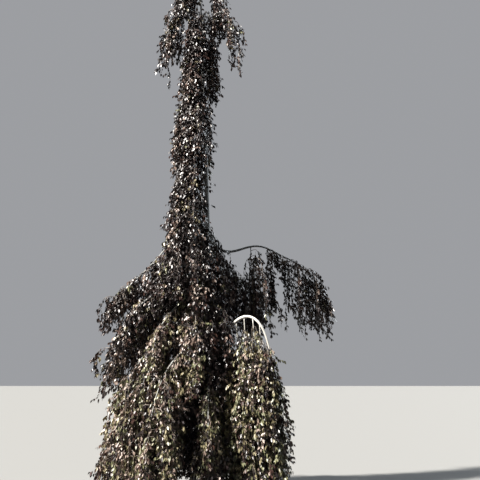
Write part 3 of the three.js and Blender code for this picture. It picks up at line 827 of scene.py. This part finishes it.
def trunk_piece():
    """The trunk, with its root flare, a swelling under each limb and the bark's relief."""
    rings = round(TRUNK["height"] / TRUNK["ring_height"])
    sides = TRUNK["sides"]
    height = np.linspace(0, TRUNK["height"], rings + 1)[:, None]
    azimuth = np.tile(360 * np.arange(sides) / sides, (rings + 1, 1))
    radius = trunk_radius(height, np.radians(azimuth))
    for limb in LIMBS:
        turn = np.radians((azimuth - limb.azimuth + 180) % 360 - 180) / SWELLING["width"]
        rise = (height - limb.start + SWELLING["rise"] / 2) / SWELLING["rise"]
        size = min(1, limb.girth / SWELLING["girth"]) * trunk_radius(limb.start) / TRUNK["foot_radius"]
        radius = radius + SWELLING["height"] * size * np.exp(-(turn**2) - rise**2)
    axis = trunk_axis(height[:, 0])[:, None]
    out = direction(azimuth)
    smooth = axis + radius[..., None] * out
    fade = np.minimum(radius / TRUNK["foot_radius"], 1) * np.minimum(height / TRUNK["ring_height"], 1)
    lift = relief(smooth.reshape(-1, 3)).reshape(radius.shape) * fade
    points = (smooth + lift[..., None] * out).reshape(-1, 3)
    return make_mesh("trunk_bark", points, tube_faces(1, rings + 1, sides))


def limb_radii(limb, steps):
    """The radius at the shares `steps` of a limb, with its collar at the trunk."""
    trunk = float(trunk_radius(limb.start))
    if limb.share:
        foot, stem = limb.girth, STEM["radius"]
    else:
        foot = stem = min(STEM["radius"], BOUGH["of_trunk"] * trunk)
    radii = np.interp(steps, (0, limb.share, 1), (foot, stem, STEM["tip_radius"]))
    out = np.linalg.norm(limb.line(steps) - limb.line(0), axis=1) - trunk
    return radii * (1 + COLLAR["swell"] * np.exp(-np.maximum(out, 0) / COLLAR["length"]))


def bough_piece(name, limbs):
    """Boughs from inside the trunk on through the stems of their masses, thick at the trunk, with relief."""
    steps = np.linspace(0, 1, BOUGH["rings"] + 1)
    lines = np.array([limb.line(steps) for limb in limbs])
    radii = np.array([limb_radii(limb, steps) for limb in limbs])
    smooth = tube_points(lines, radii, BOUGH["sides"])
    out = smooth - lines[:, :, None]
    out /= np.linalg.norm(out, axis=3, keepdims=True)
    thickness = (radii / TRUNK["foot_radius"])[..., None]
    lift = BOUGH["relief"] * thickness * relief(smooth.reshape(-1, 3)).reshape(smooth.shape[:3])
    points = (smooth + lift[..., None] * out).reshape(-1, 3)
    return make_mesh(name, points, tube_faces(len(limbs), len(steps), BOUGH["sides"]))


# Materials


def new_material(name, roughness):
    """A material, the tree of its nodes and its shader."""
    material = bpy.data.materials.new(name)
    material.use_nodes = True
    shader = material.node_tree.nodes["Principled BSDF"]
    shader.inputs["Roughness"].default_value = roughness
    return material, material.node_tree, shader


def mottle(tree, scale, stops, colors, stretch=(1, 1, 1), detail=MOTTLE_DETAIL):
    """A noise in object space run through a ramp of colours; gives the ramp's colour output."""
    place = tree.nodes.new("ShaderNodeTexCoord")
    mapping = tree.nodes.new("ShaderNodeMapping")
    mapping.inputs["Scale"].default_value = stretch
    pattern = tree.nodes.new("ShaderNodeTexNoise")
    pattern.inputs["Scale"].default_value = scale
    pattern.inputs["Detail"].default_value = detail
    ramp = tree.nodes.new("ShaderNodeValToRGB")
    steps = ramp.color_ramp.elements
    while len(steps) < len(stops):
        steps.new(1)
    for step, stop, color in zip(steps, stops, colors):
        step.position = stop
        step.color = (*color, 1)
    tree.links.new(place.outputs["Object"], mapping.inputs["Vector"])
    tree.links.new(mapping.outputs["Vector"], pattern.inputs["Vector"])
    tree.links.new(pattern.outputs["Fac"], ramp.inputs["Fac"])
    return ramp.outputs["Color"]


def add_bump(tree, shader, height, strength, depth):
    bump = tree.nodes.new("ShaderNodeBump")
    bump.inputs["Strength"].default_value = strength
    bump.inputs["Distance"].default_value = depth
    tree.links.new(height, bump.inputs["Height"])
    tree.links.new(bump.outputs["Normal"], shader.inputs["Normal"])


def leaf_material(tint):
    """A waxy beech leaf, mottled with a lighter tone, with a fine bump for its veins."""
    look = LEAF_LOOK
    material, tree, shader = new_material(f"leaf_{tint}", look["roughness"])
    shader.inputs["Specular IOR Level"].default_value = look["specular"]
    color = mottle(tree, look["mottle_scale"], look["mottle_stops"], TINTS[tint])
    tree.links.new(color, shader.inputs["Base Color"])
    veins = mottle(tree, look["vein_scale"], look["vein_stops"], (BLACK, WHITE), detail=look["vein_detail"])
    add_bump(tree, shader, veins, look["bump"], look["depth"])
    return material


def bark_material(name):
    """Smooth beech bark: clouds of grey with bands and fine ticks that run round the limb."""
    look = BARK_LOOK
    material, tree, shader = new_material(name, BARKS[name]["roughness"])
    clouds = mottle(tree, look["cloud_scale"], look["cloud_stops"], BARKS[name]["colors"])
    ticks = mottle(
        tree, look["tick_scale"], look["tick_stops"], (WHITE, look["tick_color"]), look["tick_stretch"]
    )
    mix = tree.nodes.new("ShaderNodeMix")
    mix.data_type = "RGBA"
    mix.blend_type = "MULTIPLY"
    mix.inputs["Factor"].default_value = look["tick_mix"]
    tree.links.new(clouds, mix.inputs["A"])
    tree.links.new(ticks, mix.inputs["B"])
    tree.links.new(mix.outputs["Result"], shader.inputs["Base Color"])
    grain = mottle(tree, look["grain_scale"], look["grain_stops"], (BLACK, WHITE), look["grain_stretch"])
    add_bump(tree, shader, grain, look["bump"], look["depth"])
    return material


def twig_material():
    material, tree, shader = new_material("twig", TWIG_LOOK["roughness"])
    color = mottle(tree, TWIG_LOOK["scale"], TWIG_LOOK["stops"], TWIG_LOOK["colors"])
    tree.links.new(color, shader.inputs["Base Color"])
    return material


# Camera, lights, backdrop and floor


def add_camera():
    camera = bpy.data.cameras.new("camera")
    camera.lens = CAMERA["lens"]
    camera.sensor_width = CAMERA["sensor"]
    camera.clip_end = CAMERA["far"]
    holder = bpy.data.objects.new("camera", camera)
    holder.location = CAMERA["place"]
    # An unturned camera looks straight down, and a quarter turn brings it level.
    holder.rotation_euler = (math.pi / 2 + math.radians(CAMERA["pitch"]), 0, 0)
    bpy.context.scene.collection.objects.link(holder)
    bpy.context.scene.camera = holder


def add_light(name, azimuth, elevation, energy, angle, color):
    light = bpy.data.lights.new(name, "SUN")
    light.energy = energy
    light.angle = math.radians(angle)
    light.color = color
    holder = bpy.data.objects.new(name, light)
    slope = math.radians(elevation)
    towards = Vector(direction(azimuth)) * math.cos(slope) + Vector((0, 0, math.sin(slope)))
    holder.rotation_euler = towards.to_track_quat("Z", "Y").to_euler()
    bpy.context.scene.collection.objects.link(holder)


def add_sky():
    """A plain backdrop behind the tree, and a weaker fill light from all round it."""
    world = bpy.data.worlds.new("sky")
    world.use_nodes = True
    nodes, links = world.node_tree.nodes, world.node_tree.links
    fill = nodes["Background"]
    backdrop = nodes.new("ShaderNodeBackground")
    for node, look in ((fill, FILL), (backdrop, BACKDROP)):
        node.inputs["Color"].default_value = (*look["color"], 1)
        node.inputs["Strength"].default_value = look["strength"]
    path = nodes.new("ShaderNodeLightPath")
    mix = nodes.new("ShaderNodeMixShader")
    links.new(path.outputs["Is Camera Ray"], mix.inputs[0])
    links.new(fill.outputs["Background"], mix.inputs[1])
    links.new(backdrop.outputs["Background"], mix.inputs[2])
    links.new(mix.outputs["Shader"], nodes["World Output"].inputs["Surface"])
    bpy.context.scene.world = world


def add_floor():
    """A plain floor. It throws no light back up, so that the inside of the tree stays dark."""
    half = FLOOR["half"]
    corners = np.array([(-half, -half, 0), (half, -half, 0), (half, half, 0), (-half, half, 0)], float)
    floor = make_mesh("floor", corners, np.array([(0, 1, 2), (0, 2, 3)]))
    material, _, shader = new_material("floor", FLOOR["roughness"])
    shader.inputs["Base Color"].default_value = (*FLOOR["color"], 1)
    floor.data.materials.append(material)
    floor.visible_diffuse = False


# The tree put together


def finish_piece(piece, material, slot, *nodes):
    """Give a piece its material and its body, and hide the solids that it stands for. Its `slot` is not used.
    """
    piece.data.materials.append(material)
    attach(piece, "root")
    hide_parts(*nodes)


def make_space(stems, box):
    """The space of every stem, the bare boughs, and the box that holds the whole tree."""
    bare = [limb for limb in LIMBS if limb.share]
    return Space(
        np.array([stem.line(np.linspace(stem.share, 1, STEM["space_points"])) for stem in stems]),
        np.array([limb.line(np.linspace(0, limb.share, STEM["bare_points"])) for limb in bare]),
        np.array([limb.girth for limb in bare]),
        box,
    )


def grow_foliage(box):
    """The strands, their finer twigs, the side twigs and the leaves of the whole tree."""
    rng = np.random.default_rng(SEED)
    stems = [*LIMBS, *HANGERS]
    space = make_space(stems, box)
    mixes = np.array([[MIXES[stem.tint][tint] for tint in TINTS] for stem in stems])
    strands = grow_strands(space, stems, rng)
    sprigs = grow_sprigs(space, stems, strands, rng)
    parts, side_twigs = [], []
    for batch in (stem_twigs(stems), strands, sprigs):
        found, twigs = dress(batch, mixes, rng)
        parts.extend(found)
        side_twigs.append(twigs)
    leaves = Leaves(
        np.concatenate([part.roots for part in parts]),
        np.concatenate([part.azimuth for part in parts]),
        np.concatenate([part.tint for part in parts]),
    )
    return strands, sprigs, np.concatenate(side_twigs), leaves, rng


def dress_foliage(box, masses):
    """All twigs and leaves, in place of the masses."""
    strands, sprigs, side_twigs, leaves, rng = grow_foliage(box)
    twig = twig_material()
    finish_piece(twig_piece("strands", strands), twig, "bark", *masses)
    finish_piece(twig_piece("sprigs", sprigs), twig, "bark")
    finish_piece(spike_piece("side_twigs", side_twigs), twig, "bark")
    looks = {tint: leaf_material(tint) for tint in TINTS}
    for tint, piece in leaf_pieces(leaves, rng):
        finish_piece(piece, looks[tint], LEAF_SLOTS[tint])


def dress_wood(boughs):
    """The trunk, the boughs and the hangers. The arch and its hangers are far paler than the rest."""
    bark, pale = (bark_material(name) for name in BARKS)
    arch_boughs = [node for node in boughs if node.startswith(f"bough_{ARCH.name}_")]
    other_boughs = [node for node in boughs if node not in arch_boughs]
    other_limbs = [limb for limb in LIMBS if limb is not ARCH]
    finish_piece(trunk_piece(), bark, "bark", "trunk")
    finish_piece(bough_piece("bough_bark", other_limbs), bark, "bark", *other_boughs)
    finish_piece(bough_piece("arch_bark", [ARCH]), pale, "bark", *arch_boughs)
    finish_piece(hanger_piece("arch_hanger_bark", ARCH), pale, "bark")
    finish_piece(hanger_piece("hanger_bark", RIGHT_OUTER), bark, "bark")


def nodes_named(start):
    """The names of the solids that begin with `start`."""
    return [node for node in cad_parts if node.startswith(start)]


add_camera()
for light, look in LIGHTS.items():
    add_light(light, **look)
add_sky()
add_floor()
bpy.context.scene.view_settings.view_transform = "Standard"
dress_foliage(cad_box, nodes_named("mass_"))
dress_wood(nodes_named("bough_"))
